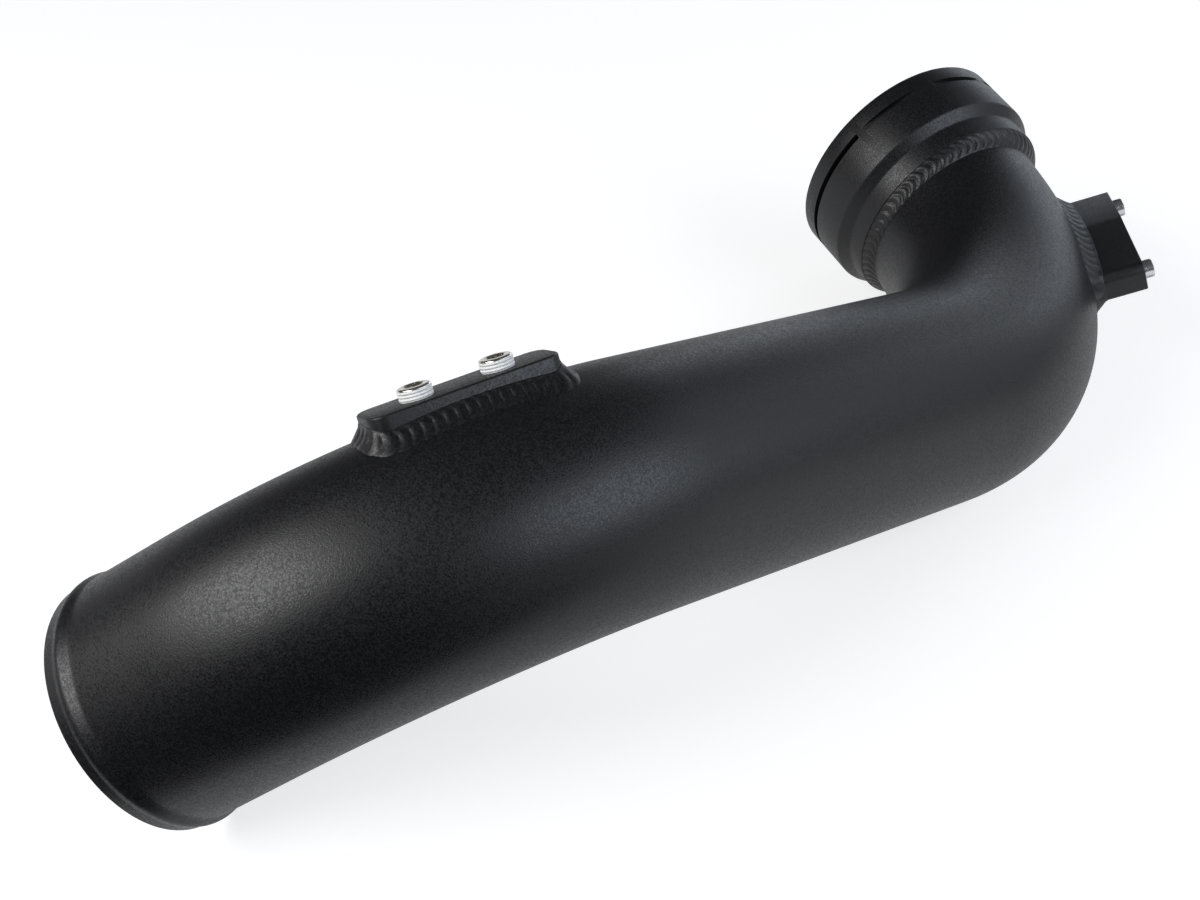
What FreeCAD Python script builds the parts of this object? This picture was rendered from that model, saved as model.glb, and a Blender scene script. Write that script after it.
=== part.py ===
import FreeCAD, Part
import Sketcher
import math
import os

# An intercooler charge pipe, bent from one tube, with a welded throttle collar and two welded bars

doc = FreeCAD.newDocument("IntercoolerPipe")
sheet = doc.addObject("Spreadsheet::Sheet", "Sizes")


# A size is a number together with the text that binds it to its cell
class Size:
    def __init__(self, number, text):
        self.number = number
        self.text = text

    def __add__(self, other):
        other = asSize(other)
        return Size(self.number + other.number, "(%s + %s)" % (self.text, other.text))

    def __sub__(self, other):
        other = asSize(other)
        return Size(self.number - other.number, "(%s - %s)" % (self.text, other.text))

    def __mul__(self, other):
        other = asSize(other)
        return Size(self.number * other.number, "(%s * %s)" % (self.text, other.text))

    def __truediv__(self, other):
        other = asSize(other)
        return Size(self.number / other.number, "(%s / %s)" % (self.text, other.text))

    def __neg__(self):
        return Size(-self.number, "(0 - %s)" % self.text)


def asSize(value):
    if isinstance(value, Size):
        return value
    return Size(float(value), "%.6f" % value if value >= 0 else "(0 - %.6f)" % -value)


def sine(angle):
    angle = asSize(angle)
    return Size(math.sin(math.radians(angle.number)), "sin(%s * 1deg)" % angle.text)


def cosine(angle):
    angle = asSize(angle)
    return Size(math.cos(math.radians(angle.number)), "cos(%s * 1deg)" % angle.text)


rows = [0]


def cell(alias, value):
    rows[0] += 1
    row = rows[0]
    sheet.set("A%d" % row, alias)
    sheet.set("B%d" % row, "%.4f" % value)
    sheet.setAlias("B%d" % row, alias)
    return Size(value, "Sizes." + alias)


# Tube and its two bends
tubeOuter = cell("tubeOuterRadius", 38.1)
tubeWall = cell("tubeWall", 2.0)
straightRun = cell("straightRun", 147.6)
lowerBendRadius = cell("lowerBendRadius", 114.3)
lowerBendAngle = cell("lowerBendAngle", 63.65)
lowerBendRoll = cell("lowerRollAngle", -24.7)
elbowRadius = cell("elbowRadius", 114.3)
elbowAngle = cell("elbowAngle", 82.16)
elbowRoll = cell("elbowRollAngle", 43.98)
neckCutBack = cell("neckCutBack", 14.8)

# Rolled hose end
mouthRun = cell("mouthRun", 34.6)
mouthLip = cell("mouthLip", 3.0)
beadWidth = cell("beadWidth", 5.2)
beadHeight = cell("beadHeight", 1.0)

# Throttle collar
collarLength = cell("collarLength", 35.7)
collarOuter = cell("collarOuterRadius", 46.7)
collarNeck = cell("collarNeckRadius", 43.0)
collarNeckRun = cell("collarNeckRun", 8.0)
collarEdge = cell("collarEdge", 0.6)
collarBore = cell("collarBoreRadius", 42.0)
collarLeadIn = cell("collarLeadIn", 1.0)
collarShoulder = cell("collarShoulder", 10.0)
slotPlane = cell("slotPlane", 27.6)
slotWidth = cell("slotWidth", 2.3)
slotRoll = cell("slotRollAngle", 63.5)
slotStart = cell("slotStartAngle", 41.0)
slotSweep = cell("slotSweepAngle", 85.0)
chordRoll = cell("chordRollAngle", 21.0)
chordFloor = cell("chordFloor", 44.9)
collarWeldTop = cell("collarWeldTop", 42.9)
collarWeldRun = cell("collarWeldRun", 8.4)

# Port bar on the lower bend
barAlong = cell("barAlongAngle", 22.1)
barClock = cell("barClockAngle", 25.9)
barLength = cell("barLength", 57.5)
barWidth = cell("barWidth", 17.4)
barTop = cell("barTopHeight", 43.5)
barCorner = cell("barCorner", 5.0)
barEdge = cell("barEdge", 0.6)
barWeldTop = cell("barWeldTop", 39.2)
barWeldLeg = cell("barWeldLeg", 6.3)
portPitch = cell("portPitch", 24.6)
portRadius = cell("portRadius", 5.0)
portBore = cell("portBoreRadius", 3.6)
plugStand = cell("plugStand", 3.6)
plugDepth = cell("plugDepth", 4.6)
plugEdge = cell("plugEdge", 0.5)
plugHex = cell("plugHexAcrossCorners", 5.5)
plugHexDepth = cell("plugHexDepth", 3.6)

# Mounting bar on the outside of the elbow
padAlong = cell("padAlongAngle", 53.0)
padClock = cell("padClockAngle", 49.1)
padYaw = cell("padYawAngle", -2.3)
padTop = cell("padTopHeight", 55.4)
padHalfLength = cell("padHalfLength", 28.5)
padHalfWidth = cell("padHalfWidth", 7.0)
padWeldTop = cell("padWeldTop", 40.6)
padEndDrop = cell("padEndDrop", 2.4)
padTipDrop = cell("padTipDrop", 2.8)
padTipRun = cell("padTipRun", 2.8)
padSideDrop = cell("padSideDrop", 0.5)
padTipBack = cell("padTipBack", 0.3)
padWeldLeg = cell("padWeldLeg", 3.6)
screwPitch = cell("screwPitch", 43.3)
screwRadius = cell("screwRadius", 2.0)
screwReach = cell("screwReach", 12.0)
headRadius = cell("headRadius", 3.5)
headHeight = cell("headHeight", 4.0)
headEdge = cell("headEdge", 0.4)
headHex = cell("headHexAcrossCorners", 3.46)
headHexDepth = cell("headHexDepth", 2.0)

# How the pipe lies when it is put down
restYaw = cell("restYawAngle", 0.0)
restPitch = cell("restPitchAngle", 12.4336)
restRoll = cell("restRollAngle", -27.7802)
restShiftX = cell("restShiftX", -74.175)
restShiftY = cell("restShiftY", -45.39)
restLift = cell("restLift", 78.412)
doc.recompute()

tubeInner = tubeOuter - tubeWall
seatDepth = cell("seatDepth", 10.0)
cutOverrun = cell("cutOverrun", 5.0)
weldRoot = cell("weldRoot", 1.0)
weldLap = cell("weldLap", 0.25)
doc.recompute()


# Frames along the bent centre line, each a step on from the one before
def shift(x, y, z):
    x = asSize(x)
    y = asSize(y)
    z = asSize(z)
    return "placement(vector(%s; %s; %s); rotation(vector(0; 0; 1); 0))" % (x.text, y.text, z.text)


def turn(axis, angle):
    return "placement(vector(0; 0; 0); rotation(vector(%s); %s))" % (axis, asSize(angle).text)


alongX = "1; 0; 0"
alongZ = "0; 0; 1"


def frameAt(name, steps):
    frame = doc.addObject("Part::Vertex", name)
    frame.setExpression("Placement", " * ".join(steps))
    return name + ".Placement"


restTurn = "rotation(%s; %s; %s)" % (restYaw.text, restPitch.text, restRoll.text)
restStep = "placement(vector(%s; %s; %s); %s)" % (restShiftX.text, restShiftY.text, restLift.text, restTurn)
rest = frameAt("RestFrame", [restStep])

# The cyclic turn stands a sketch square to the centre line
cyclic = "placement(vector(0; 0; 0); rotation(vector(1; 1; 1); 120))"

straightSketch = frameAt("StraightSection", [cyclic])
lowerSketch = frameAt("LowerSection", [turn(alongX, lowerBendRoll), shift(0, lowerBendRadius, 0), cyclic])
elbowSketch = frameAt("ElbowSection", [
    shift(straightRun, 0, 0), turn(alongX, elbowRoll), shift(0, elbowRadius, 0), cyclic])
mouth = frameAt("MouthFrame", [
    turn(alongX, lowerBendRoll),
    shift(-(lowerBendRadius * sine(lowerBendAngle)), lowerBendRadius * (asSize(1) - cosine(lowerBendAngle)), 0),
    turn(alongZ, asSize(180) - lowerBendAngle)])
neck = frameAt("NeckFrame", [
    shift(straightRun, 0, 0),
    turn(alongX, elbowRoll),
    shift(elbowRadius * sine(elbowAngle), elbowRadius * (asSize(1) - cosine(elbowAngle)), 0),
    turn(alongZ, elbowAngle),
    shift(-neckCutBack, 0, 0)])
neckSection = frameAt("NeckSection", [neck, cyclic])
bar = frameAt("BarFrame", [
    turn(alongX, lowerBendRoll),
    shift(-(lowerBendRadius * sine(barAlong)), lowerBendRadius * (asSize(1) - cosine(barAlong)), 0),
    turn(alongZ, -barAlong),
    turn(alongX, barClock)])
pad = frameAt("PadFrame", [
    shift(straightRun, 0, 0),
    turn(alongX, elbowRoll),
    shift(elbowRadius * sine(padAlong), elbowRadius * (asSize(1) - cosine(padAlong)), 0),
    turn(alongZ, padAlong),
    turn(alongX, padClock),
    turn(alongZ, padYaw)])
doc.recompute()


# Sketches and features
def newBody(name, place):
    body = doc.addObject("PartDesign::Body", name)
    body.setExpression("Placement", place)
    return body


def plane(body, role):
    for item in body.Origin.OriginFeatures:
        if item.Role == role:
            return item
    raise ValueError(role)


def newSketch(body, name, place):
    sketch = body.newObject("Sketcher::SketchObject", name)
    sketch.AttachmentSupport = (plane(body, "XY_Plane"), [""])
    sketch.MapMode = "FlatFace"
    if place:
        sketch.setExpression("AttachmentOffset", place)
    return sketch


def dimension(sketch, constraint, size):
    index = sketch.addConstraint(constraint)
    label = "d%d" % index
    sketch.renameConstraint(index, label)
    sketch.setExpression(".Constraints." + label, size.text)


def place(sketch, geometry, spot, x, y):
    x = asSize(x)
    y = asSize(y)
    dimension(sketch, Sketcher.Constraint("DistanceX", -1, 1, geometry, spot, x.number), x)
    dimension(sketch, Sketcher.Constraint("DistanceY", -1, 1, geometry, spot, y.number), y)


def circle(sketch, x, y, radius):
    x = asSize(x)
    y = asSize(y)
    radius = asSize(radius)
    spot = FreeCAD.Vector(x.number, y.number, 0)
    index = sketch.addGeometry(Part.Circle(spot, FreeCAD.Vector(0, 0, 1), radius.number), False)
    dimension(sketch, Sketcher.Constraint("Radius", index, radius.number), radius)
    place(sketch, index, 3, x, y)


def polygon(sketch, points):
    points = [(asSize(x), asSize(y)) for x, y in points]
    spots = [FreeCAD.Vector(x.number, y.number, 0) for x, y in points]
    count = len(points)
    first = sketch.GeometryCount
    for i in range(count):
        sketch.addGeometry(Part.LineSegment(spots[i], spots[(i + 1) % count]), False)
    for i in range(count):
        sketch.addConstraint(Sketcher.Constraint("Coincident", first + i, 2, first + (i + 1) % count, 1))
    for i in range(count):
        place(sketch, first + i, 1, points[i][0], points[i][1])


def pad_(body, name, sketch, length, back=False):
    feature = body.newObject("PartDesign::Pad", name)
    feature.Profile = sketch
    feature.setExpression("Length", asSize(length).text)
    feature.Reversed = back
    return feature


def pocket(body, name, sketch, length, back=False):
    feature = body.newObject("PartDesign::Pocket", name)
    feature.Profile = sketch
    feature.setExpression("Length", asSize(length).text)
    feature.Reversed = back
    return feature


def revolve(body, name, sketch, axis, angle, back=False, kind="Revolution"):
    feature = body.newObject("PartDesign::" + kind, name)
    feature.Profile = sketch
    feature.ReferenceAxis = (sketch, [axis])
    feature.setExpression("Angle", asSize(angle).text)
    feature.Reversed = back
    return feature


def tubeRun(body, prefix, radii):
    section = newSketch(body, prefix + "Straight", straightSketch)
    for radius in radii:
        circle(section, 0, 0, radius)
    pad_(body, prefix + "StraightPad", section, straightRun)
    section = newSketch(body, prefix + "Lower", lowerSketch)
    for radius in radii:
        circle(section, -lowerBendRadius, 0, radius)
    revolve(body, prefix + "LowerBend", section, "V_Axis", lowerBendAngle, True)
    section = newSketch(body, prefix + "Elbow", elbowSketch)
    for radius in radii:
        circle(section, -elbowRadius, 0, radius)
    revolve(body, prefix + "ElbowBend", section, "V_Axis", elbowAngle)


def neckCut(body, prefix):
    block = tubeOuter * 1.8
    section = newSketch(body, prefix + "NeckCut", neckSection)
    polygon(section, [(-block, -block), (block, -block), (block, block), (-block, block)])
    pocket(body, prefix + "NeckPocket", section, neckCutBack * 2.0, True)


# Solid core of the tube, used to fit the welded pieces to its outside
core = newBody("TubeCore", rest)
tubeRun(core, "Core", [tubeOuter])
neckCut(core, "Core")

# Bent tube with a rolled bead at the hose end
pipe = newBody("MainPipe", rest)
pipe.Label = "main_pipe"
tubeRun(pipe, "Pipe", [tubeOuter, tubeInner])
section = newSketch(pipe, "MouthProfile", mouth)
beadEnd = mouthRun - mouthLip
beadMiddle = beadEnd - beadWidth / 2
beadStart = beadEnd - beadWidth
quarter = beadWidth / 4
low = beadHeight * 0.72
polygon(section, [
    (0, tubeOuter), (beadStart, tubeOuter), (beadStart + quarter, tubeOuter + low),
    (beadMiddle, tubeOuter + beadHeight), (beadEnd - quarter, tubeOuter + low), (beadEnd, tubeOuter),
    (mouthRun, tubeOuter), (mouthRun, tubeInner), (beadEnd, tubeInner),
    (beadEnd - quarter, tubeInner + low), (beadMiddle, tubeInner + beadHeight),
    (beadStart + quarter, tubeInner + low), (beadStart, tubeInner), (0, tubeInner)])
revolve(pipe, "MouthRoll", section, "H_Axis", asSize(360))
neckCut(pipe, "Pipe")
section = newSketch(pipe, "PortBores", bar)
circle(section, portPitch / 2, 0, portBore)
circle(section, -(portPitch / 2), 0, portBore)
pocket(pipe, "PortPockets", section, barTop, True)

# Machined collar with its throttle socket and clip slots
collar = newBody("ThrottleCollar", rest + " * " + neck)
collar.Label = "throttle_collar"
section = newSketch(collar, "CollarProfile", "")
shoulderEnd = collarNeckRun + collarOuter - collarNeck
polygon(section, [
    (0, tubeInner), (0, collarNeck), (collarNeckRun, collarNeck), (shoulderEnd, collarOuter),
    (collarLength - collarEdge, collarOuter), (collarLength, collarOuter - collarEdge),
    (collarLength, collarBore + collarLeadIn), (collarLength - collarLeadIn, collarBore),
    (collarShoulder, collarBore), (collarShoulder, tubeInner)])
revolve(collar, "CollarTurned", section, "H_Axis", asSize(360))
slotLow = slotPlane - slotWidth / 2
slotHigh = slotPlane + slotWidth / 2
for side, start in (("Left", slotRoll + slotStart), ("Right", slotRoll - slotStart - slotSweep)):
    section = newSketch(collar, "Slot" + side, turn(alongX, start))
    polygon(section, [
        (slotLow, collarBore - cutOverrun), (slotHigh, collarBore - cutOverrun),
        (slotHigh, collarOuter + cutOverrun), (slotLow, collarOuter + cutOverrun)])
    revolve(collar, "SlotCut" + side, section, "H_Axis", slotSweep, False, "Groove")
for side, start in (("Left", slotRoll + chordRoll), ("Right", slotRoll - chordRoll)):
    chordPlace = " * ".join([turn(alongX, start - 90), shift(0, 0, chordFloor)])
    section = newSketch(collar, "Chord" + side, chordPlace)
    polygon(section, [
        (slotLow, -(collarOuter / 2)), (slotHigh, -(collarOuter / 2)),
        (slotHigh, collarOuter / 2), (slotLow, collarOuter / 2)])
    pocket(collar, "ChordCut" + side, section, collarOuter - chordFloor + cutOverrun, True)

# Fillet weld between the tube and the collar
ring = newBody("CollarWeldRing", rest + " * " + neck)
section = newSketch(ring, "CollarWeldProfile", "")
inside = tubeInner - weldRoot
polygon(section, [
    (0, inside), (0, collarWeldTop), (-(collarWeldRun * 0.45), collarWeldTop - (collarWeldTop - inside) * 0.36),
    (-collarWeldRun, inside)])
revolve(ring, "CollarWeldTurned", section, "H_Axis", asSize(360))
collarWeld = doc.addObject("Part::Cut", "CollarWeld")
collarWeld.Label = "collar_weld"
collarWeld.Base = ring
collarWeld.Tool = core


# Port bar with two plugged ports
def barOutline(grow, corner):
    x = barLength / 2 + grow
    y = barWidth / 2 + grow
    cut = corner
    mid = corner * 0.293
    return [
        (x, -(y - cut)), (x, y - cut), (x - mid, y - mid), (x - cut, y), (-(x - cut), y), (-(x - mid), y - mid),
        (-x, y - cut), (-x, -(y - cut)), (-(x - mid), -(y - mid)), (-(x - cut), -y), (x - cut, -y),
        (x - mid, -(y - mid))]


seat = tubeOuter - seatDepth
barBlock = newBody("BarBlock", rest + " * " + bar)
section = newSketch(barBlock, "BarOutline", shift(0, 0, seat))
polygon(section, barOutline(asSize(0), barCorner))
pad_(barBlock, "BarPad", section, barTop - seat - barEdge)
lower = newSketch(barBlock, "BarEdgeLow", shift(0, 0, barTop - barEdge))
polygon(lower, barOutline(asSize(0), barCorner))
upper = newSketch(barBlock, "BarEdgeHigh", shift(0, 0, barTop))
polygon(upper, barOutline(-barEdge, barCorner))
loft = barBlock.newObject("PartDesign::AdditiveLoft", "BarChamfer")
loft.Profile = lower
loft.Sections = [upper]
loft.Ruled = True

barSolid = doc.addObject("Part::Cut", "BarSolid")
barSolid.Base = barBlock
barSolid.Tool = core
portTools = newBody("PortTools", rest + " * " + bar)
section = newSketch(portTools, "PortToolSketch", shift(0, 0, seat - cutOverrun))
circle(section, portPitch / 2, 0, portRadius)
circle(section, -(portPitch / 2), 0, portRadius)
pad_(portTools, "PortToolPad", section, barTop - seat + cutOverrun * 2)
portBar = doc.addObject("Part::Cut", "PortBar")
portBar.Label = "port_bar"
portBar.Base = barSolid
portBar.Tool = portTools

weldBlock = newBody("BarWeldBlock", rest + " * " + bar)
lower = newSketch(weldBlock, "BarWeldLow", shift(0, 0, barWeldTop - barWeldLeg * 1.4))
polygon(lower, barOutline(barWeldLeg * 1.75, barCorner + barWeldLeg * 2))
upper = newSketch(weldBlock, "BarWeldHigh", shift(0, 0, barWeldTop))
polygon(upper, barOutline(weldLap, barCorner))
loft = weldBlock.newObject("PartDesign::AdditiveLoft", "BarWeldLoft")
loft.Profile = lower
loft.Sections = [upper]
loft.Ruled = True
weldOnTube = doc.addObject("Part::Cut", "BarWeldOnTube")
weldOnTube.Base = weldBlock
weldOnTube.Tool = core
barWeld = doc.addObject("Part::Cut", "BarWeld")
barWeld.Label = "port_bar_weld"
barWeld.Base = weldOnTube
barWeld.Tool = barBlock


# Hexagonal socket outline about a spot on the middle line
def hexagon(middle, across):
    half = across / 2
    points = []
    for step in range(6):
        angle = math.radians(60 * step)
        points.append((middle + half * math.cos(angle), half * math.sin(angle)))
    return points


# Two screwed plugs with hexagonal sockets
plugs = []
for name, middle in (("Left", -(portPitch / 2)), ("Right", portPitch / 2)):
    plug = newBody("Plug" + name, rest + " * " + bar)
    section = newSketch(plug, "PlugProfile" + name, " * ".join([shift(middle, 0, 0), turn(alongX, 90)]))
    polygon(section, [
        (0, barTop - plugDepth), (portRadius - plugEdge, barTop - plugDepth),
        (portRadius, barTop - plugDepth + plugEdge), (portRadius, barTop + plugStand - plugEdge),
        (portRadius - plugEdge, barTop + plugStand), (0, barTop + plugStand)])
    revolve(plug, "PlugTurned" + name, section, "V_Axis", asSize(360))
    section = newSketch(plug, "PlugHex" + name, shift(0, 0, barTop + plugStand))
    polygon(section, hexagon(middle, plugHex))
    pocket(plug, "PlugSocket" + name, section, plugHexDepth)
    plugs.append(plug)
plugPair = doc.addObject("Part::Compound", "PlugPair")
plugPair.Label = "port_plugs"
plugPair.Links = plugs


# Mounting bar on the elbow, the same when turned end for end
def padOutline(grow):
    x = padHalfLength + grow
    y = padHalfWidth + grow
    half = [
        (x, y - padEndDrop), (padHalfLength * 0.2, y), (-(x - padTipRun), y - padSideDrop),
        (-(x - padTipBack), y - padTipDrop)]
    return half + [(-asSize(a), -asSize(b)) for a, b in half]


padBlock = newBody("PadBlock", rest + " * " + pad)
section = newSketch(padBlock, "PadOutline", shift(0, 0, seat))
polygon(section, padOutline(asSize(0)))
pad_(padBlock, "PadPad", section, padTop - seat)
padSolid = doc.addObject("Part::Cut", "PadSolid")
padSolid.Base = padBlock
padSolid.Tool = core
screwTools = newBody("ScrewTools", rest + " * " + pad)
section = newSketch(screwTools, "ScrewToolSketch", shift(0, 0, padTop - screwReach))
circle(section, screwPitch / 2, 0, screwRadius)
circle(section, -(screwPitch / 2), 0, screwRadius)
pad_(screwTools, "ScrewToolPad", section, screwReach + cutOverrun)
mountBar = doc.addObject("Part::Cut", "MountBar")
mountBar.Label = "mount_bar"
mountBar.Base = padSolid
mountBar.Tool = screwTools

padWeldBlock = newBody("PadWeldBlock", rest + " * " + pad)
lower = newSketch(padWeldBlock, "PadWeldLow", shift(0, 0, padWeldTop - padWeldLeg * 2))
polygon(lower, padOutline(padWeldLeg * 1.6))
upper = newSketch(padWeldBlock, "PadWeldHigh", shift(0, 0, padWeldTop))
polygon(upper, padOutline(weldLap))
loft = padWeldBlock.newObject("PartDesign::AdditiveLoft", "PadWeldLoft")
loft.Profile = lower
loft.Sections = [upper]
loft.Ruled = True
padWeldOnTube = doc.addObject("Part::Cut", "PadWeldOnTube")
padWeldOnTube.Base = padWeldBlock
padWeldOnTube.Tool = core
padWeld = doc.addObject("Part::Cut", "PadWeld")
padWeld.Label = "mount_bar_weld"
padWeld.Base = padWeldOnTube
padWeld.Tool = padBlock

# Two socket head screws in the mounting bar
screws = []
for name, middle in (("Left", -(screwPitch / 2)), ("Right", screwPitch / 2)):
    screw = newBody("Screw" + name, rest + " * " + pad)
    section = newSketch(screw, "ScrewProfile" + name, " * ".join([shift(middle, 0, 0), turn(alongX, 90)]))
    polygon(section, [
        (0, padTop - screwReach), (screwRadius, padTop - screwReach), (screwRadius, padTop),
        (headRadius, padTop), (headRadius, padTop + headHeight - headEdge),
        (headRadius - headEdge, padTop + headHeight), (0, padTop + headHeight)])
    revolve(screw, "ScrewTurned" + name, section, "V_Axis", asSize(360))
    section = newSketch(screw, "ScrewHex" + name, shift(0, 0, padTop + headHeight))
    polygon(section, hexagon(middle, headHex))
    pocket(screw, "ScrewSocket" + name, section, headHexDepth)
    screws.append(screw)
screwPair = doc.addObject("Part::Compound", "ScrewPair")
screwPair.Label = "mount_screws"
screwPair.Links = screws

doc.recompute()

# Every object is checked before a file is written
nodes = [pipe, collar, collarWeld, portBar, barWeld, plugPair, mountBar, padWeld, screwPair]
for item in doc.Objects:
    if "Invalid" in item.State or "Error" in item.State:
        raise RuntimeError(item.Name + " failed")
for item in nodes:
    if item.Shape.isNull() or not item.Shape.isValid():
        raise RuntimeError(item.Label + " has no valid shape")

os.makedirs("parts", exist_ok=True)
for item in nodes:
    item.Shape.exportStep("parts/" + item.Label + ".step")
    box = item.Shape.BoundBox
    print(item.Label, len(item.Shape.Solids), round(item.Shape.Volume, 1), [
        round(v, 1) for v in (box.XMin, box.YMin, box.ZMin, box.XMax, box.YMax, box.ZMax)])
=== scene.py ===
import math
import bpy
import bmesh
from mathutils import Matrix, Vector


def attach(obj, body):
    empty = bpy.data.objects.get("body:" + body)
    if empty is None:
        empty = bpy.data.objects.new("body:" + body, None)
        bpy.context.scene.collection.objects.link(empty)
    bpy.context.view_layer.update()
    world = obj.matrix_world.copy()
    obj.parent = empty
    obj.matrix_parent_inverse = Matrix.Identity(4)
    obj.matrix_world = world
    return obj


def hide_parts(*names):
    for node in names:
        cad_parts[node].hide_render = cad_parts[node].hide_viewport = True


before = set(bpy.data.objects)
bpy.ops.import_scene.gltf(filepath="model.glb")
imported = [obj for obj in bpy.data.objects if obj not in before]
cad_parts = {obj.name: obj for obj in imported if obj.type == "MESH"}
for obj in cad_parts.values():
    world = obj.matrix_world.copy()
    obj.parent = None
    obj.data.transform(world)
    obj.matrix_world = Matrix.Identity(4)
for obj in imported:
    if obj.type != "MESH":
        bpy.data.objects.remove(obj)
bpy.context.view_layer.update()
print("frame loaded")


# Small tools that several pieces use, all in millimetres

def shift(x, y, z):
    return Matrix.Translation((x, y, z))


def turn(axis, degrees):
    return Matrix.Rotation(math.radians(degrees), 4, axis)


tube = {
    "outer": 38.1, "wall": 2.0, "straight": 147.6,
    "lowerRadius": 114.3, "lowerAngle": 63.65, "lowerRoll": -24.7,
    "elbowRadius": 114.3, "elbowAngle": 82.16, "elbowRoll": 43.98, "neckCutBack": 14.8,
    "mouthRun": 34.6, "lip": 3.0, "lipRound": 0.5, "lipEase": 0.15,
    "beadWidth": 5.2, "beadHeight": 1.0, "beadEase": 1.6, "beadLead": 1.2,
    "beadLean": 1.35, "beadSoft": 1.3, "beadSteps": 16,
    "around": 144, "lowerSteps": 44, "elbowSteps": 56, "straightSteps": 12,
}

restFrame = shift(-74.175, -45.39, 78.412) @ turn("Y", 12.4336) @ turn("X", -27.7802)


def lowerFrame(angle):
    radius = tube["lowerRadius"]
    bent = math.radians(angle)
    onArc = shift(-radius * math.sin(bent), radius * (1 - math.cos(bent)), 0)
    return turn("X", tube["lowerRoll"]) @ onArc @ turn("Z", -angle)


def elbowFrame(angle):
    radius = tube["elbowRadius"]
    bent = math.radians(angle)
    bend = shift(radius * math.sin(bent), radius * (1 - math.cos(bent)), 0) @ turn("Z", angle)
    return shift(tube["straight"], 0, 0) @ turn("X", tube["elbowRoll"]) @ bend


# Frames of the open mouth and of the neck that takes the collar, both facing outward
mouthFrame = lowerFrame(tube["lowerAngle"]) @ turn("Z", 180)
neckFrame = elbowFrame(tube["elbowAngle"]) @ shift(-tube["neckCutBack"], 0, 0)


# Height of a point over the tube's outer skin
def offTube(point):
    if point.x < 0:
        roll, radius, x = tube["lowerRoll"], tube["lowerRadius"], point.x
    elif point.x > tube["straight"]:
        roll, radius, x = tube["elbowRoll"], tube["elbowRadius"], point.x - tube["straight"]
    else:
        return math.hypot(point.y, point.z) - tube["outer"]
    rolled = math.radians(roll)
    y = point.y * math.cos(rolled) + point.z * math.sin(rolled)
    z = point.z * math.cos(rolled) - point.y * math.sin(rolled)
    return math.hypot(math.hypot(x, y - radius) - radius, z) - tube["outer"]


# Point where a line from inside the tube to outside it meets the skin, found by halving
def surfaceAlong(place, inside, outside):
    halvings = 22
    low, high = 0.0, 1.0
    for step in range(halvings):
        middle = (low + high) / 2
        if offTube(place @ inside.lerp(outside, middle)) > 0:
            high = middle
        else:
            low = middle
    return inside.lerp(outside, low)


def newObject(bm, name):
    mesh = bpy.data.meshes.new(name)
    bm.to_mesh(mesh)
    bm.free()
    made = bpy.data.objects.new(name, mesh)
    bpy.context.collection.objects.link(made)
    return made


# Piece in the shared frame, in metres, with edges over the given angle kept sharp
def finishPiece(bm, name, place, nodes, materials, sharpAt=35):
    bmesh.ops.transform(bm, matrix=Matrix.Scale(0.001, 4) @ restFrame @ place, verts=bm.verts)
    bmesh.ops.recalc_face_normals(bm, faces=bm.faces)
    limit = math.radians(sharpAt)
    for face in bm.faces:
        face.smooth = True
    for edge in bm.edges:
        edge.smooth = len(edge.link_faces) != 2 or edge.calc_face_angle() < limit
    piece = newObject(bm, name)
    for material in materials:
        piece.data.materials.append(material)
    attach(piece, "root")
    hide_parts(*nodes)
    print("made", name, len(piece.data.polygons))


weldGap = 0.0005


def lathe(bm, profile, steps, place):
    chain = [bm.verts.new(place @ Vector((r, 0, z))) for r, z in profile]
    edges = [bm.edges.new(pair) for pair in zip(chain, chain[1:])]
    axis = place.to_3x3() @ Vector((0, 0, 1))
    bmesh.ops.spin(
        bm, geom=chain + edges, cent=place.translation, axis=axis,
        angle=math.tau, steps=steps, use_merge=True)
    bmesh.ops.remove_doubles(bm, verts=bm.verts, dist=weldGap)


def boundary(bm):
    return [edge for edge in bm.edges if len(edge.link_faces) == 1]


# Closed ring of quads with each vertex's place along it and its row, to be laid out as a weld
def ringStrip(steps, rows):
    bm = bmesh.new()
    ringRadius = 3
    start = shift(ringRadius, 0, 0) @ turn("X", 90)
    ring = bmesh.ops.create_circle(bm, segments=rows, radius=1, matrix=start)["verts"]
    edges = list(dict.fromkeys(edge for vert in ring for edge in vert.link_edges))
    bmesh.ops.spin(
        bm, geom=ring + edges, cent=(0, 0, 0), axis=(0, 0, 1),
        angle=math.tau, steps=steps, use_merge=True)
    bmesh.ops.remove_doubles(bm, verts=bm.verts, dist=weldGap)
    spots = []
    for vert in bm.verts:
        along = (math.atan2(vert.co.y, vert.co.x) / math.tau) % 1
        outward = math.hypot(vert.co.x, vert.co.y) - ringRadius
        row = round(math.atan2(vert.co.z, outward) / math.tau * rows) % rows
        spots.append((vert, along, row))
    return bm, spots


# Finishes

def newMaterial(name, color, metallic, roughness):
    material = bpy.data.materials.new(name)
    material.use_nodes = True
    shader = material.node_tree.nodes["Principled BSDF"]
    shader.inputs["Base Color"].default_value = (*color, 1)
    shader.inputs["Metallic"].default_value = metallic
    shader.inputs["Roughness"].default_value = roughness
    return material, material.node_tree, shader


def noiseOn(tree, coordinates, scale, detail):
    noise = tree.nodes.new("ShaderNodeTexNoise")
    noise.inputs["Scale"].default_value = scale
    noise.inputs["Detail"].default_value = detail
    tree.links.new(coordinates, noise.inputs["Vector"])
    return noise.outputs["Fac"]


def spread(tree, source, low, high, fromLow=0.3, fromHigh=0.7):
    node = tree.nodes.new("ShaderNodeMapRange")
    node.inputs["From Min"].default_value = fromLow
    node.inputs["From Max"].default_value = fromHigh
    node.inputs["To Min"].default_value = low
    node.inputs["To Max"].default_value = high
    tree.links.new(source, node.inputs["Value"])
    return node.outputs["Result"]


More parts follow.
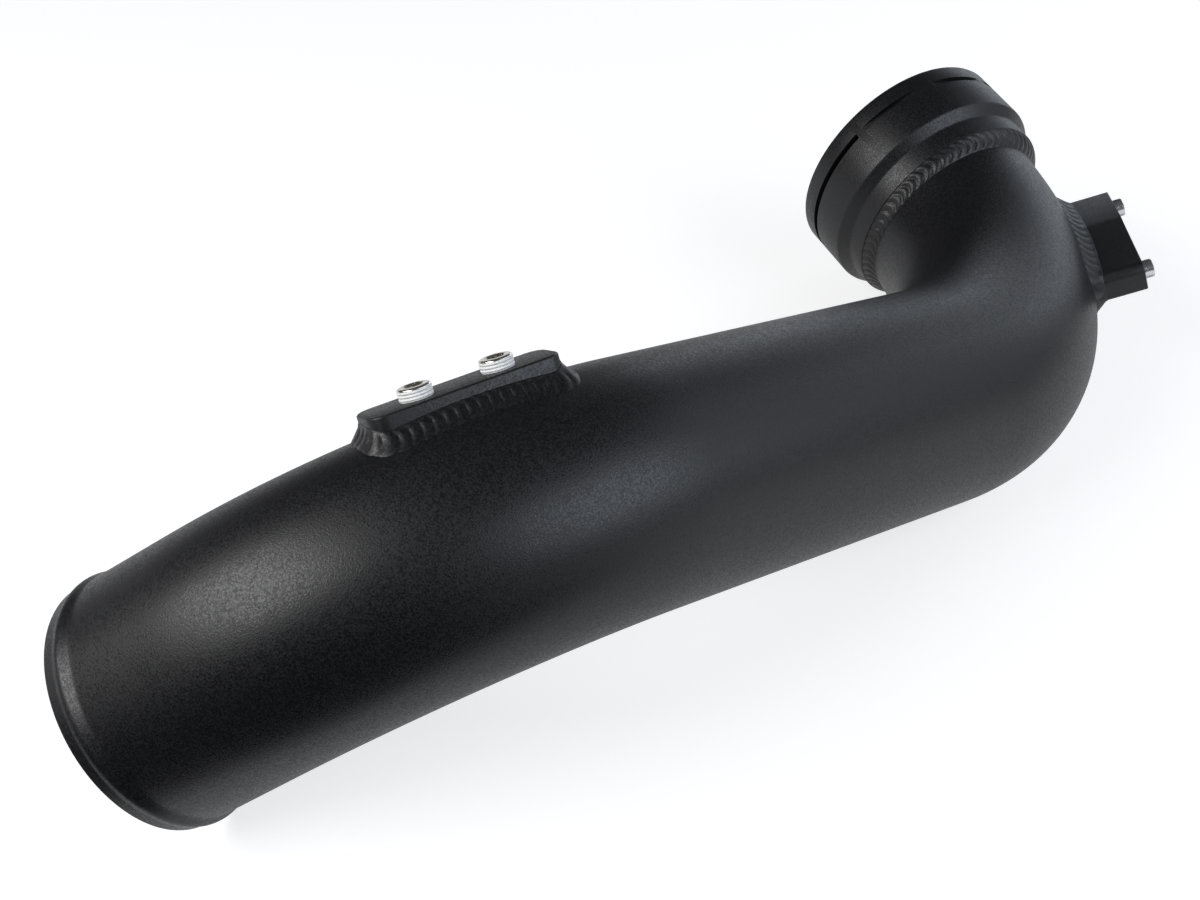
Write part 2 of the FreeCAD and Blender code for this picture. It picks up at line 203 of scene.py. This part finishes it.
def bumpFrom(tree, shader, source, strength, distance):
    bump = tree.nodes.new("ShaderNodeBump")
    bump.inputs["Strength"].default_value = strength
    bump.inputs["Distance"].default_value = distance
    tree.links.new(source, bump.inputs["Height"])
    tree.links.new(bump.outputs["Normal"], shader.inputs["Normal"])


def shades(tree, source, dark, light, low=0.35, high=0.65):
    ramp = tree.nodes.new("ShaderNodeValToRGB")
    ramp.color_ramp.elements[0].position = low
    ramp.color_ramp.elements[0].color = (*dark, 1)
    ramp.color_ramp.elements[1].position = high
    ramp.color_ramp.elements[1].color = (*light, 1)
    tree.links.new(source, ramp.inputs["Fac"])
    return ramp.outputs["Color"]


coat = {
    "dark": (0.0028, 0.0029, 0.0038), "light": (0.0054, 0.0056, 0.0072), "roughness": (0.33, 0.54),
    "grain": 1700, "cells": 2400, "cellRange": (0.2, 0.8), "bump": 0.3, "bumpHeight": 0.0002,
}


def powderCoat():
    material, tree, shader = newMaterial("blackPowderCoat", (0.013, 0.013, 0.015), 0, 0.45)
    where = tree.nodes.new("ShaderNodeTexCoord").outputs["Object"]
    grain = noiseOn(tree, where, coat["grain"], 2)
    cells = tree.nodes.new("ShaderNodeTexVoronoi")
    cells.inputs["Scale"].default_value = coat["cells"]
    tree.links.new(where, cells.inputs["Vector"])
    speck = cells.outputs["Color"]
    color = shades(tree, speck, coat["dark"], coat["light"], *coat["cellRange"])
    tree.links.new(color, shader.inputs["Base Color"])
    tree.links.new(spread(tree, speck, *coat["roughness"], *coat["cellRange"]), shader.inputs["Roughness"])
    bumpFrom(tree, shader, grain, coat["bump"], coat["bumpHeight"])
    return material


def brightPlate():
    material, tree, shader = newMaterial("brightPlate", (0.86, 0.83, 0.76), 1, 0.18)
    where = tree.nodes.new("ShaderNodeTexCoord").outputs["Object"]
    cloud = noiseOn(tree, where, 900, 3)
    color = shades(tree, cloud, (0.78, 0.75, 0.67), (0.92, 0.89, 0.83))
    tree.links.new(spread(tree, cloud, 0.12, 0.28), shader.inputs["Roughness"])
    tree.links.new(color, shader.inputs["Base Color"])
    return material


def threadSealant():
    material, tree, shader = newMaterial("threadSealant", (0.8, 0.8, 0.79), 0, 0.6)
    where = tree.nodes.new("ShaderNodeTexCoord").outputs["Object"]
    smear = noiseOn(tree, where, 1400, 4)
    color = shades(tree, smear, (0.74, 0.74, 0.75), (0.9, 0.9, 0.89), 0.3, 0.5)
    tree.links.new(color, shader.inputs["Base Color"])
    return material


def screwSteel():
    material, tree, shader = newMaterial("screwSteel", (0.7, 0.7, 0.71), 1, 0.28)
    where = tree.nodes.new("ShaderNodeTexCoord").outputs["Object"]
    cloud = noiseOn(tree, where, 1500, 3)
    color = shades(tree, cloud, (0.7, 0.7, 0.72), (0.8, 0.8, 0.81))
    tree.links.new(spread(tree, cloud, 0.2, 0.28), shader.inputs["Roughness"])
    tree.links.new(color, shader.inputs["Base Color"])
    return material


blackCoat = powderCoat()
plate = brightPlate()
sealant = threadSealant()
steel = screwSteel()
print("finishes made")


# Bent tube, drawn out of one ring from the start of the straight run

def pullRing(bm, edges, move, scale=1.0, middle=None):
    made = bmesh.ops.extrude_edge_only(bm, edges=edges)["geom"]
    verts = [item for item in made if isinstance(item, bmesh.types.BMVert)]
    bmesh.ops.translate(bm, verts=verts, vec=move)
    if scale != 1.0:
        about = shift(*middle) @ Matrix.Scale(scale, 4) @ shift(*(-middle))
        bmesh.ops.transform(bm, matrix=about, verts=verts)
    return [item for item in made if isinstance(item, bmesh.types.BMEdge)]


def spinRing(bm, edges, middle, axis, angle, steps):
    verts = list(dict.fromkeys(vert for edge in edges for vert in edge.verts))
    made = bmesh.ops.spin(bm, geom=verts + edges, cent=middle, axis=axis, angle=angle, steps=steps)
    return [item for item in made["geom_last"] if isinstance(item, bmesh.types.BMEdge)]


def tubeSkin(bm, radius, mouthSteps):
    stand = turn("Y", 90)
    ring = bmesh.ops.create_circle(bm, segments=tube["around"], radius=radius, matrix=stand)["verts"]
    first = list(dict.fromkeys(edge for vert in ring for edge in vert.link_edges))
    rolled = turn("X", tube["lowerRoll"])
    middle = rolled @ Vector((0, tube["lowerRadius"], 0))
    axis = rolled.to_3x3() @ Vector((0, 0, 1))
    edges = spinRing(bm, first, middle, axis, -math.radians(tube["lowerAngle"]), tube["lowerSteps"])
    direction = mouthFrame.to_3x3() @ Vector((1, 0, 0))
    spot = mouthFrame.translation.copy()
    size = radius
    reached = 0.0
    for along, wanted in mouthSteps:
        spot = spot + direction * (along - reached)
        edges = pullRing(bm, edges, direction * (along - reached), wanted / size, spot)
        reached = along
        size = wanted
    edges = first
    for step in range(tube["straightSteps"]):
        edges = pullRing(bm, edges, Vector((tube["straight"] / tube["straightSteps"], 0, 0)))
    rolled = shift(tube["straight"], 0, 0) @ turn("X", tube["elbowRoll"])
    middle = rolled @ Vector((0, tube["elbowRadius"], 0))
    axis = rolled.to_3x3() @ Vector((0, 0, 1))
    spinRing(bm, edges, middle, axis, math.radians(tube["elbowAngle"]), tube["elbowSteps"])


# Steps along the mouth as distance and radius, through the rolled bead up to the lip
def mouthRoll(radius):
    end = tube["mouthRun"] - tube["lip"]
    start = end - tube["beadWidth"] - tube["beadEase"]
    steps = [(start * 0.5, radius), (start - tube["beadLead"], radius)]
    for step in range(tube["beadSteps"] + 1):
        part = step / tube["beadSteps"]
        lift = math.sin(math.pi * part ** tube["beadLean"]) ** tube["beadSoft"]
        steps.append((start + part * (end - start), radius + tube["beadHeight"] * lift))
    steps.append((tube["mouthRun"] - tube["lipRound"], radius))
    return steps


def buildPipe():
    bm = bmesh.new()
    outer = tube["outer"]
    inner = outer - tube["wall"]
    end = tube["mouthRun"]
    lipRound = tube["lipRound"]
    ease = tube["lipEase"]
    rim = (end, inner + lipRound)
    tubeSkin(bm, outer, mouthRoll(outer) + [(end - ease, outer - ease), (end, outer - lipRound), rim])
    tubeSkin(bm, inner, mouthRoll(inner) + [(end - ease, inner + ease), rim])
    bmesh.ops.remove_doubles(bm, verts=bm.verts, dist=0.01)
    cut = neckFrame.translation
    normal = neckFrame.to_3x3() @ Vector((1, 0, 0))
    everything = bm.verts[:] + bm.edges[:] + bm.faces[:]
    bmesh.ops.bisect_plane(
        bm, geom=everything, dist=0.0001, plane_co=cut, plane_no=normal, clear_outer=True)
    bmesh.ops.triangle_fill(bm, use_beauty=True, edges=boundary(bm), normal=normal)
    finishPiece(bm, "mainPipe", Matrix.Identity(4), ["main_pipe"], [blackCoat])


buildPipe()

# Throttle collar, turned and then slotted for its clip

collar = {
    "length": 35.7, "outer": 46.7, "neck": 43.0, "neckRun": 8.0, "edge": 0.6,
    "bore": 42.0, "leadIn": 1.0, "shoulder": 10.0,
    "slotPlane": 27.6, "slotWidth": 2.3, "slotRoll": 63.5, "slotStart": 41.0, "slotSweep": 85.0,
    "cutInner": 40.5, "cutOuter": 49.0, "cutSteps": 64,
    "chordRoll": 21.0, "chordFloor": 44.9, "chordTall": 6.0, "chordLength": 44.0, "steps": 256,
}


def slotCutter():
    bm = bmesh.new()
    low = collar["slotPlane"] - collar["slotWidth"] / 2
    high = collar["slotPlane"] + collar["slotWidth"] / 2
    first = collar["slotRoll"] + collar["slotStart"]
    second = collar["slotRoll"] - collar["slotStart"] - collar["slotSweep"]
    for roll in (first, second):
        side = turn("X", roll)
        near, far = collar["cutInner"], collar["cutOuter"]
        corners = [(low, near), (high, near), (high, far), (low, far)]
        verts = [bm.verts.new(side @ Vector((x, r, 0))) for x, r in corners]
        face = bm.faces.new(verts)
        bmesh.ops.spin(
            bm, geom=[face], cent=(0, 0, 0), axis=(1, 0, 0),
            angle=math.radians(collar["slotSweep"]), steps=collar["cutSteps"])
    tall = collar["chordTall"]
    for roll in (collar["slotRoll"] + collar["chordRoll"], collar["slotRoll"] - collar["chordRoll"]):
        seat = shift(collar["slotPlane"], collar["chordFloor"] + tall / 2, 0)
        size = Matrix.Diagonal((collar["slotWidth"], tall, collar["chordLength"], 1))
        box = turn("X", roll) @ seat @ size
        bmesh.ops.create_cube(bm, size=1, matrix=box)
    bmesh.ops.recalc_face_normals(bm, faces=bm.faces)
    return newObject(bm, "slotCutter")


def buildCollar():
    inner = tube["outer"] - tube["wall"]
    outer, neck, bore = collar["outer"], collar["neck"], collar["bore"]
    run, length, edge = collar["neckRun"], collar["length"], collar["edge"]
    leadIn, shoulder = collar["leadIn"], collar["shoulder"]
    slope = outer - neck
    top = run + slope
    # Tenths of a millimetre here are the rounded edges
    profile = [
        (inner, 0.0), (neck - 0.5, 0.0), (neck - 0.15, 0.15), (neck, 0.5),
        (neck, run - 0.6), (neck + 0.12, run - 0.15), (neck + 0.45, run + 0.3),
        (outer - 0.5, top - 0.5), (outer - 0.15, top - 0.05), (outer, top + 0.5),
        (outer, length - edge), (outer - 0.12, length - 0.25), (outer - edge, length),
        (bore + leadIn, length), (bore, length - leadIn), (bore, shoulder),
        (inner, shoulder), (inner, 0.0)]
    bm = bmesh.new()
    lathe(bm, profile, collar["steps"], turn("Y", 90))
    bmesh.ops.recalc_face_normals(bm, faces=bm.faces)
    blank = newObject(bm, "collarBlank")
    cutter = slotCutter()
    cut = blank.modifiers.new("slots", "BOOLEAN")
    cut.operation = "DIFFERENCE"
    cut.solver = "EXACT"
    cut.object = cutter
    graph = bpy.context.evaluated_depsgraph_get()
    slotted = bpy.data.meshes.new_from_object(blank.evaluated_get(graph))
    bm = bmesh.new()
    bm.from_mesh(slotted)
    bpy.data.objects.remove(blank)
    bpy.data.objects.remove(cutter)
    bmesh.ops.remove_doubles(bm, verts=bm.verts, dist=0.002)
    finishPiece(bm, "throttleCollar", neckFrame, ["throttle_collar"], [blackCoat], 28)


buildCollar()

# Weld beads, laid as overlapping ripples

weld = {
    "collarPitch": 4.0, "collarRun": 6.4, "collarTop": 42.6, "rise": 0.7, "crown": 0.4,
    "collarMean": 40.5, "collarStart": 0.4, "collarLean": 0.8, "collarFall": 1.15, "collarProbe": (30, 46),
    "barPitch": 3.7, "barLeg": 3.6, "barEndLeg": 5.0, "barWidth": 5.2, "barEndWidth": 3.8,
    "padPitch": 5.0, "padLeg": 4.8, "padEndLeg": 4.4, "padWidth": 4.6, "padEndWidth": 3.6,
    "barRise": 0.6, "flare": 1.7, "barStart": 0.15, "barLean": 0.5, "barFall": 1.1, "barProbe": (15, 60),
    "rows": 16, "perRipple": 10, "sink": 0.3, "root": 0.5,
}


def ripple(phase):
    return abs(math.sin(math.pi * phase)) ** 0.8


def buildCollarWeld():
    count = round(math.tau * weld["collarMean"] / weld["collarPitch"])
    rows = weld["rows"]
    bm, spots = ringStrip(count * weld["perRipple"], rows)
    top = rows - 2
    nearProbe, farProbe = weld["collarProbe"]
    for vert, along, row in spots:
        angle = along * math.tau
        part = min(row, top) / top
        onAxis = Vector((weld["collarStart"] - weld["collarRun"] * part, 0, 0))
        out = Vector((0, math.cos(angle), math.sin(angle)))
        foot = surfaceAlong(neckFrame, onAxis + out * nearProbe, onAxis + out * farProbe).dot(out)
        if row > top:
            vert.co = Vector((0.1, 0, 0)) + out * (foot - weld["root"])
            continue
        swell = math.sin(math.pi * part)
        phase = along * count + weld["collarLean"] * (2 * part - 1) ** 2
        lift = (weld["collarTop"] - foot) * (1 - part) ** weld["collarFall"] + weld["crown"] * swell
        lift += weld["rise"] * (ripple(phase) - 0.5) * min(1, swell * 1.6)
        if part == 1:
            lift = -weld["sink"]
        vert.co = onAxis + out * (foot + lift)
    finishPiece(bm, "collarWeld", neckFrame, ["collar_weld"], [blackCoat], 70)


buildCollarWeld()


def walk(outline):
    total = 0.0
    marks = []
    for start, end in zip(outline, outline[1:] + outline[:1]):
        length = (end - start).length
        marks.append((total, length, start, end))
        total += length
    return total, marks


def spotOn(marks, total, along):
    want = along * total
    for begin, length, start, end in marks:
        if want <= begin + length:
            return start.lerp(end, (want - begin) / length)
    return marks[-1][3].copy()


def roundedOutline(corners, radius, pieces):
    bm = bmesh.new()
    verts = [bm.verts.new((x, y, 0)) for x, y in corners]
    bm.faces.new(verts)
    bmesh.ops.bevel(
        bm, geom=verts, offset=radius, offset_type="OFFSET", affect="VERTICES",
        segments=pieces, profile=0.5, material=-1)
    bm.faces.ensure_lookup_table()
    outline = [vert.co.copy() for vert in bm.faces[0].verts]
    bm.free()
    return outline


# Height of the tube's skin under a spot of a bar's own plane
def footUnder(place, spot):
    low, high = weld["barProbe"]
    return surfaceAlong(place, Vector((spot.x, spot.y, low)), Vector((spot.x, spot.y, high))).z


# Weld round a bar, with one leg and width on its long sides and another at its ends
def buildBarWeld(name, nodes, place, outline, kind):
    sideWidth, endWidth = weld[kind + "Width"], weld[kind + "EndWidth"]
    sideLeg, endLeg = weld[kind + "Leg"], weld[kind + "EndLeg"]
    total, marks = walk(outline)
    count = round((total + sideWidth * 3) / weld[kind + "Pitch"])
    rows = weld["rows"]
    bm, spots = ringStrip(count * weld["perRipple"], rows)
    top = rows - 2
    lookAside = 0.006
    for vert, along, row in spots:
        here = spotOn(marks, total, along)
        before = spotOn(marks, total, (along - lookAside) % 1)
        after = spotOn(marks, total, (along + lookAside) % 1)
        side = (after - before).cross(Vector((0, 0, 1))).normalized()
        width = endWidth + (sideWidth - endWidth) * side.y ** 2
        leg = endLeg + (sideLeg - endLeg) * side.y ** 2
        part = min(row, top) / top
        swell = math.sin(math.pi * part)
        phase = along * count + weld["barLean"] * (2 * part - 1) ** 2
        pulse = ripple(phase) - 0.5
        reach = weld["barStart"] + width * part ** weld["flare"] * (1 + 0.08 * pulse)
        flat = here + side * (reach if row <= top else 0)
        foot = footUnder(place, flat)
        if row > top:
            vert.co = here - side * 0.4
            vert.co.z = foot - weld["root"]
            continue
        lift = leg * (1 - part) ** weld["barFall"] + weld["barRise"] * (pulse + 0.35) * swell
        if part == 1:
            lift = -weld["sink"]
        if row == 0:
            flat = here - side * weld["sink"]
        vert.co = Vector((flat.x, flat.y, foot + lift))
    finishPiece(bm, name, place, nodes, [blackCoat], 70)


# Oblong bar with the two ports

portBar = {
    "along": 22.1, "clock": 25.9, "length": 57.5, "width": 17.4, "top": 43.5,
    "corner": 5.0, "cornerSteps": 6, "edge": 0.6,
}
barFrame = lowerFrame(portBar["along"]) @ turn("X", portBar["clock"])


# Block with a flat top and a foot that follows the tube
def buildBlock(name, nodes, place, corners, radius, pieces, topHeight, edge):
    outline = roundedOutline(corners, radius, pieces)
    bm = bmesh.new()
    face = bm.faces.new([bm.verts.new((spot.x, spot.y, topHeight)) for spot in outline])
    sunk = bmesh.ops.extrude_face_region(bm, geom=[face])["geom"]
    feet = [item for item in sunk if isinstance(item, bmesh.types.BMVert)]
    for vert in feet:
        vert.co.z = footUnder(place, vert.co) - weld["root"]
    rim = [item for item in bm.edges if all(abs(vert.co.z - topHeight) < 0.001 for vert in item.verts)]
    bmesh.ops.bevel(
        bm, geom=rim, offset=edge, offset_type="OFFSET", affect="EDGES",
        segments=3, profile=0.5, material=-1)
    finishPiece(bm, name, place, nodes, [blackCoat], 32)
    return outline


halfLength = portBar["length"] / 2
halfWidth = portBar["width"] / 2
barCorners = [
    (halfLength, -halfWidth), (halfLength, halfWidth),
    (-halfLength, halfWidth), (-halfLength, -halfWidth)]
barOutline = buildBlock(
    "portBar", ["port_bar"], barFrame, barCorners,
    portBar["corner"], portBar["cornerSteps"], portBar["top"], portBar["edge"])
buildBarWeld("portBarWeld", ["port_bar_weld"], barFrame, barOutline, "bar")

# Mounting bar on the elbow

mountBar = {
    "along": 53.0, "clock": 49.1, "yaw": -2.3, "top": 55.4, "halfLength": 28.5, "halfWidth": 7.0,
    "corner": 1.2, "cornerSteps": 5, "edge": 0.4,
}
padFrame = elbowFrame(mountBar["along"]) @ turn("X", mountBar["clock"]) @ turn("Z", mountBar["yaw"])
longHalf = mountBar["halfLength"]
wideHalf = mountBar["halfWidth"]
# Tapered outline, the same after half a turn
oneSide = [
    (longHalf, wideHalf - 2.4), (longHalf * 0.2, wideHalf), (2.8 - longHalf, wideHalf - 0.5),
    (0.3 - longHalf, wideHalf - 2.8)]
padCorners = oneSide + [(-x, -y) for x, y in oneSide]
padOutline = buildBlock(
    "mountBar", ["mount_bar"], padFrame, padCorners,
    mountBar["corner"], mountBar["cornerSteps"], mountBar["top"], mountBar["edge"])
buildBarWeld("mountBarWeld", ["mount_bar_weld"], padFrame, padOutline, "pad")


# Socket heads, opened from the rim of a turned blank

socket = {"nearby": 6.0, "drop": 0.25, "pointDepth": 0.8, "pointScale": 0.15}


def sinkHex(bm, across, depth, topHeight, middle):
    rim = [edge for edge in boundary(bm) if (edge.verts[0].co - middle).xy.length < socket["nearby"]]
    made = bmesh.ops.extrude_edge_only(bm, edges=rim)["geom"]
    verts = [item for item in made if isinstance(item, bmesh.types.BMVert)]
    edges = [item for item in made if isinstance(item, bmesh.types.BMEdge)]
    flat = across / 2 * math.cos(math.radians(30))
    for vert in verts:
        away = vert.co - middle
        angle = math.atan2(away.y, away.x)
        turned = (angle % math.radians(60)) - math.radians(30)
        reach = flat / math.cos(turned)
        vert.co = middle + Vector((math.cos(angle) * reach, math.sin(angle) * reach, 0))
        vert.co.z = topHeight - socket["drop"]
    edges = pullRing(bm, edges, Vector((0, 0, -depth)))
    tip = Vector((middle.x, middle.y, topHeight - socket["drop"] - depth - socket["pointDepth"]))
    edges = pullRing(bm, edges, Vector((0, 0, -socket["pointDepth"])), socket["pointScale"], tip)
    bmesh.ops.contextual_create(bm, geom=edges)


plugs = {
    "pitch": 24.6, "radius": 5.0, "stand": 3.6, "depth": 4.6, "thread": 0.94, "hex": 5.5, "hexDepth": 3.2,
    "shoulder": 0.55, "sealantInner": 3.5, "steps": 72,
}


def buildPlugs():
    top = portBar["top"] + plugs["stand"]
    shoulder = top - plugs["shoulder"]
    bm = bmesh.new()
    radius = plugs["radius"]
    for side in (-1, 1):
        middle = Vector((side * plugs["pitch"] / 2, 0, 0))
        profile = [(0.0, portBar["top"] - plugs["depth"])]
        z = portBar["top"] - plugs["depth"]
        while z < shoulder - plugs["thread"]:
            profile += [(radius - 0.4, z), (radius - 0.12, z + 0.2)]
            profile += [(radius - 0.02, z + 0.5), (radius - 0.14, z + 0.78)]
            z += plugs["thread"]
        profile += [(radius - 0.4, z), (radius - 0.4, shoulder - 0.1), (radius - 0.04, shoulder)]
        profile += [(radius - 0.05, top - 0.5), (radius - 0.15, top - 0.32), (radius - 0.5, top - 0.06)]
        profile += [(radius - 0.8, top), (plugs["hex"] / 2 + 0.15, top)]
        lathe(bm, profile, plugs["steps"], shift(*middle))
        sinkHex(bm, plugs["hex"], plugs["hexDepth"], top, middle)
    for face in bm.faces:
        spot = face.calc_center_median()
        near = min(math.hypot(spot.x - side * plugs["pitch"] / 2, spot.y) for side in (-1, 1))
        onThread = spot.z < shoulder - 0.05 and near > plugs["sealantInner"]
        face.material_index = 1 if onThread else 0
    finishPiece(bm, "portPlugs", barFrame, ["port_plugs"], [plate, sealant], 40)


buildPlugs()

screws = {
    "pitch": 43.3, "radius": 2.0, "reach": 12.0, "head": 3.5, "tall": 4.0, "hex": 3.46, "hexDepth": 1.7,
    "knurl": 0.14, "steps": 96,
}


def buildScrews():
    base = mountBar["top"]
    top = base + screws["tall"]
    bm = bmesh.new()
    head = screws["head"]
    shank = screws["radius"]
    foot = base - screws["reach"]
    for side in (-1, 1):
        middle = Vector((side * screws["pitch"] / 2, 0, 0))
        profile = [
            (0.0, foot), (shank - 0.4, foot), (shank, foot + 0.4), (shank, base), (head - 0.15, base),
            (head, base + 0.15), (head, base + 0.6), (head, top - 0.9), (head - 0.12, top - 0.3),
            (head - 0.45, top - 0.04), (head - 0.6, top), (screws["hex"] / 2 + 0.3, top)]
        lathe(bm, profile, screws["steps"], shift(*middle))
        sinkHex(bm, screws["hex"], screws["hexDepth"], top, middle)
        for vert in bm.verts:
            away = Vector((vert.co.x - middle.x, vert.co.y, 0))
            if abs(away.length - head) < 0.01 and vert.co.z > base + 0.4:
                if round(math.atan2(away.y, away.x) / math.tau * screws["steps"]) % 2:
                    vert.co -= away.normalized() * screws["knurl"]
    finishPiece(bm, "mountScrews", padFrame, ["mount_screws"], [steel], 40)


buildScrews()

# Floor, light and camera

studio = {
    "floor": (0.5, 0.5, 0.51), "floorHalf": 40, "glow": 0.7, "glossGlow": 0.42,
    "world": 0.07, "backdrop": 0.735,
    "focalPixels": 1785.86, "imagePixels": 1200, "sensor": 36,
    "place": (-0.36708, -0.33697, 0.39382),
    "right": (0.73828, -0.67345, 0.03746),
    "up": (0.3762, 0.45724, 0.80586),
    "ahead": (0.55983, 0.58086, -0.59092),
}


# Pale floor that shines a little to the camera and less in reflections
def buildFloor():
    bm = bmesh.new()
    bmesh.ops.create_grid(bm, x_segments=1, y_segments=1, size=studio["floorHalf"])
    floor = newObject(bm, "floor")
    material, tree, shader = newMaterial("paleFloor", studio["floor"], 0, 0.9)
    path = tree.nodes.new("ShaderNodeLightPath")
    inGloss = tree.nodes.new("ShaderNodeMath")
    inGloss.operation = "MULTIPLY"
    inGloss.inputs[1].default_value = studio["glossGlow"]
    tree.links.new(path.outputs["Is Glossy Ray"], inGloss.inputs[0])
    glow = tree.nodes.new("ShaderNodeMath")
    glow.operation = "MULTIPLY_ADD"
    glow.inputs[1].default_value = studio["glow"]
    tree.links.new(path.outputs["Is Camera Ray"], glow.inputs[0])
    tree.links.new(inGloss.outputs["Value"], glow.inputs[2])
    shader.inputs["Emission Color"].default_value = (1, 1, 1, 1)
    tree.links.new(glow.outputs["Value"], shader.inputs["Emission Strength"])
    floor.data.materials.append(material)


darkCard = {"size": (0.8, 0.4), "back": 0.2, "place": (-0.36, -0.2, 0.003), "turn": -52}


# Dark card below the camera, folded up along its near edge and seen only in the gloss
def buildCard():
    bm = bmesh.new()
    corners = bmesh.ops.create_grid(bm, x_segments=1, y_segments=1, size=0.5)["verts"]
    bmesh.ops.scale(bm, vec=(*darkCard["size"], 1), verts=corners)
    nearEdge = [item for item in bm.edges if all(vert.co.y < 0 for vert in item.verts)]
    pullRing(bm, nearEdge, Vector((0, 0, darkCard["back"])))
    stand = shift(*darkCard["place"]) @ turn("Z", darkCard["turn"])
    bmesh.ops.transform(bm, matrix=stand, verts=bm.verts)
    card = newObject(bm, "darkCard")
    material, tree, shader = newMaterial("cardBlack", (0.01, 0.01, 0.01), 0, 0.9)
    card.data.materials.append(material)
    card.visible_camera = False
    card.visible_diffuse = False
    card.visible_shadow = False


def buildWorld():
    world = bpy.data.worlds.new("studioWorld")
    bpy.context.scene.world = world
    world.use_nodes = True
    tree = world.node_tree
    back = tree.nodes["Background"]
    back.inputs["Color"].default_value = (1, 1, 1, 1)
    path = tree.nodes.new("ShaderNodeLightPath")
    most = tree.nodes.new("ShaderNodeMath")
    most.operation = "MAXIMUM"
    tree.links.new(path.outputs["Is Camera Ray"], most.inputs[0])
    tree.links.new(path.outputs["Is Transmission Ray"], most.inputs[1])
    level = tree.nodes.new("ShaderNodeMapRange")
    level.inputs["To Min"].default_value = studio["world"]
    level.inputs["To Max"].default_value = studio["backdrop"]
    tree.links.new(most.outputs["Value"], level.inputs["Value"])
    tree.links.new(level.outputs["Result"], back.inputs["Strength"])


coolTint = (0.84, 0.91, 1)
lamps = {
    "keyLight": {
        "place": (-0.85, 0.2, 0.72), "aim": (-0.08, 0, 0.06),
        "size": (0.95, 0.5), "power": 9.5, "tint": (1, 1, 1)},
    "fillLight": {
        "place": (0.28, -0.85, 0.65), "aim": (0.05, 0, 0.06),
        "size": (0.9, 0.7), "power": 6.0, "tint": coolTint},
    "sideLight": {
        "place": (0.95, -0.35, 0.62), "aim": (0.12, 0, 0.05),
        "size": (1.0, 0.8), "power": 1.6, "tint": coolTint},
    "backLight": {
        "place": (0.95, 0.35, 0.22), "aim": (0.1, 0, 0.05),
        "size": (0.9, 0.35), "power": 1.3, "tint": coolTint},
}


def addLamp(name, place, aim, size, power, tint):
    data = bpy.data.lights.new(name, "AREA")
    data.shape = "RECTANGLE"
    data.size = size[0]
    data.size_y = size[1]
    data.energy = power
    data.color = tint
    lamp = bpy.data.objects.new(name, data)
    bpy.context.collection.objects.link(lamp)
    lamp.location = place
    lamp.rotation_euler = (Vector(aim) - Vector(place)).to_track_quat("-Z", "Y").to_euler()


def buildCamera():
    data = bpy.data.cameras.new("camera")
    data.lens = studio["focalPixels"] / studio["imagePixels"] * studio["sensor"]
    data.sensor_width = studio["sensor"]
    data.clip_start = 0.01
    camera = bpy.data.objects.new("camera", data)
    bpy.context.collection.objects.link(camera)
    right, up, ahead = (Vector(studio[key]) for key in ("right", "up", "ahead"))
    matrix = Matrix((right, up, -ahead)).transposed().to_4x4()
    matrix.translation = studio["place"]
    camera.matrix_world = matrix
    bpy.context.scene.camera = camera


buildFloor()
buildCard()
buildWorld()
for lampName, lampSetting in lamps.items():
    addLamp(lampName, **lampSetting)
buildCamera()
bpy.context.scene.view_settings.view_transform = "Standard"
print("stage set")
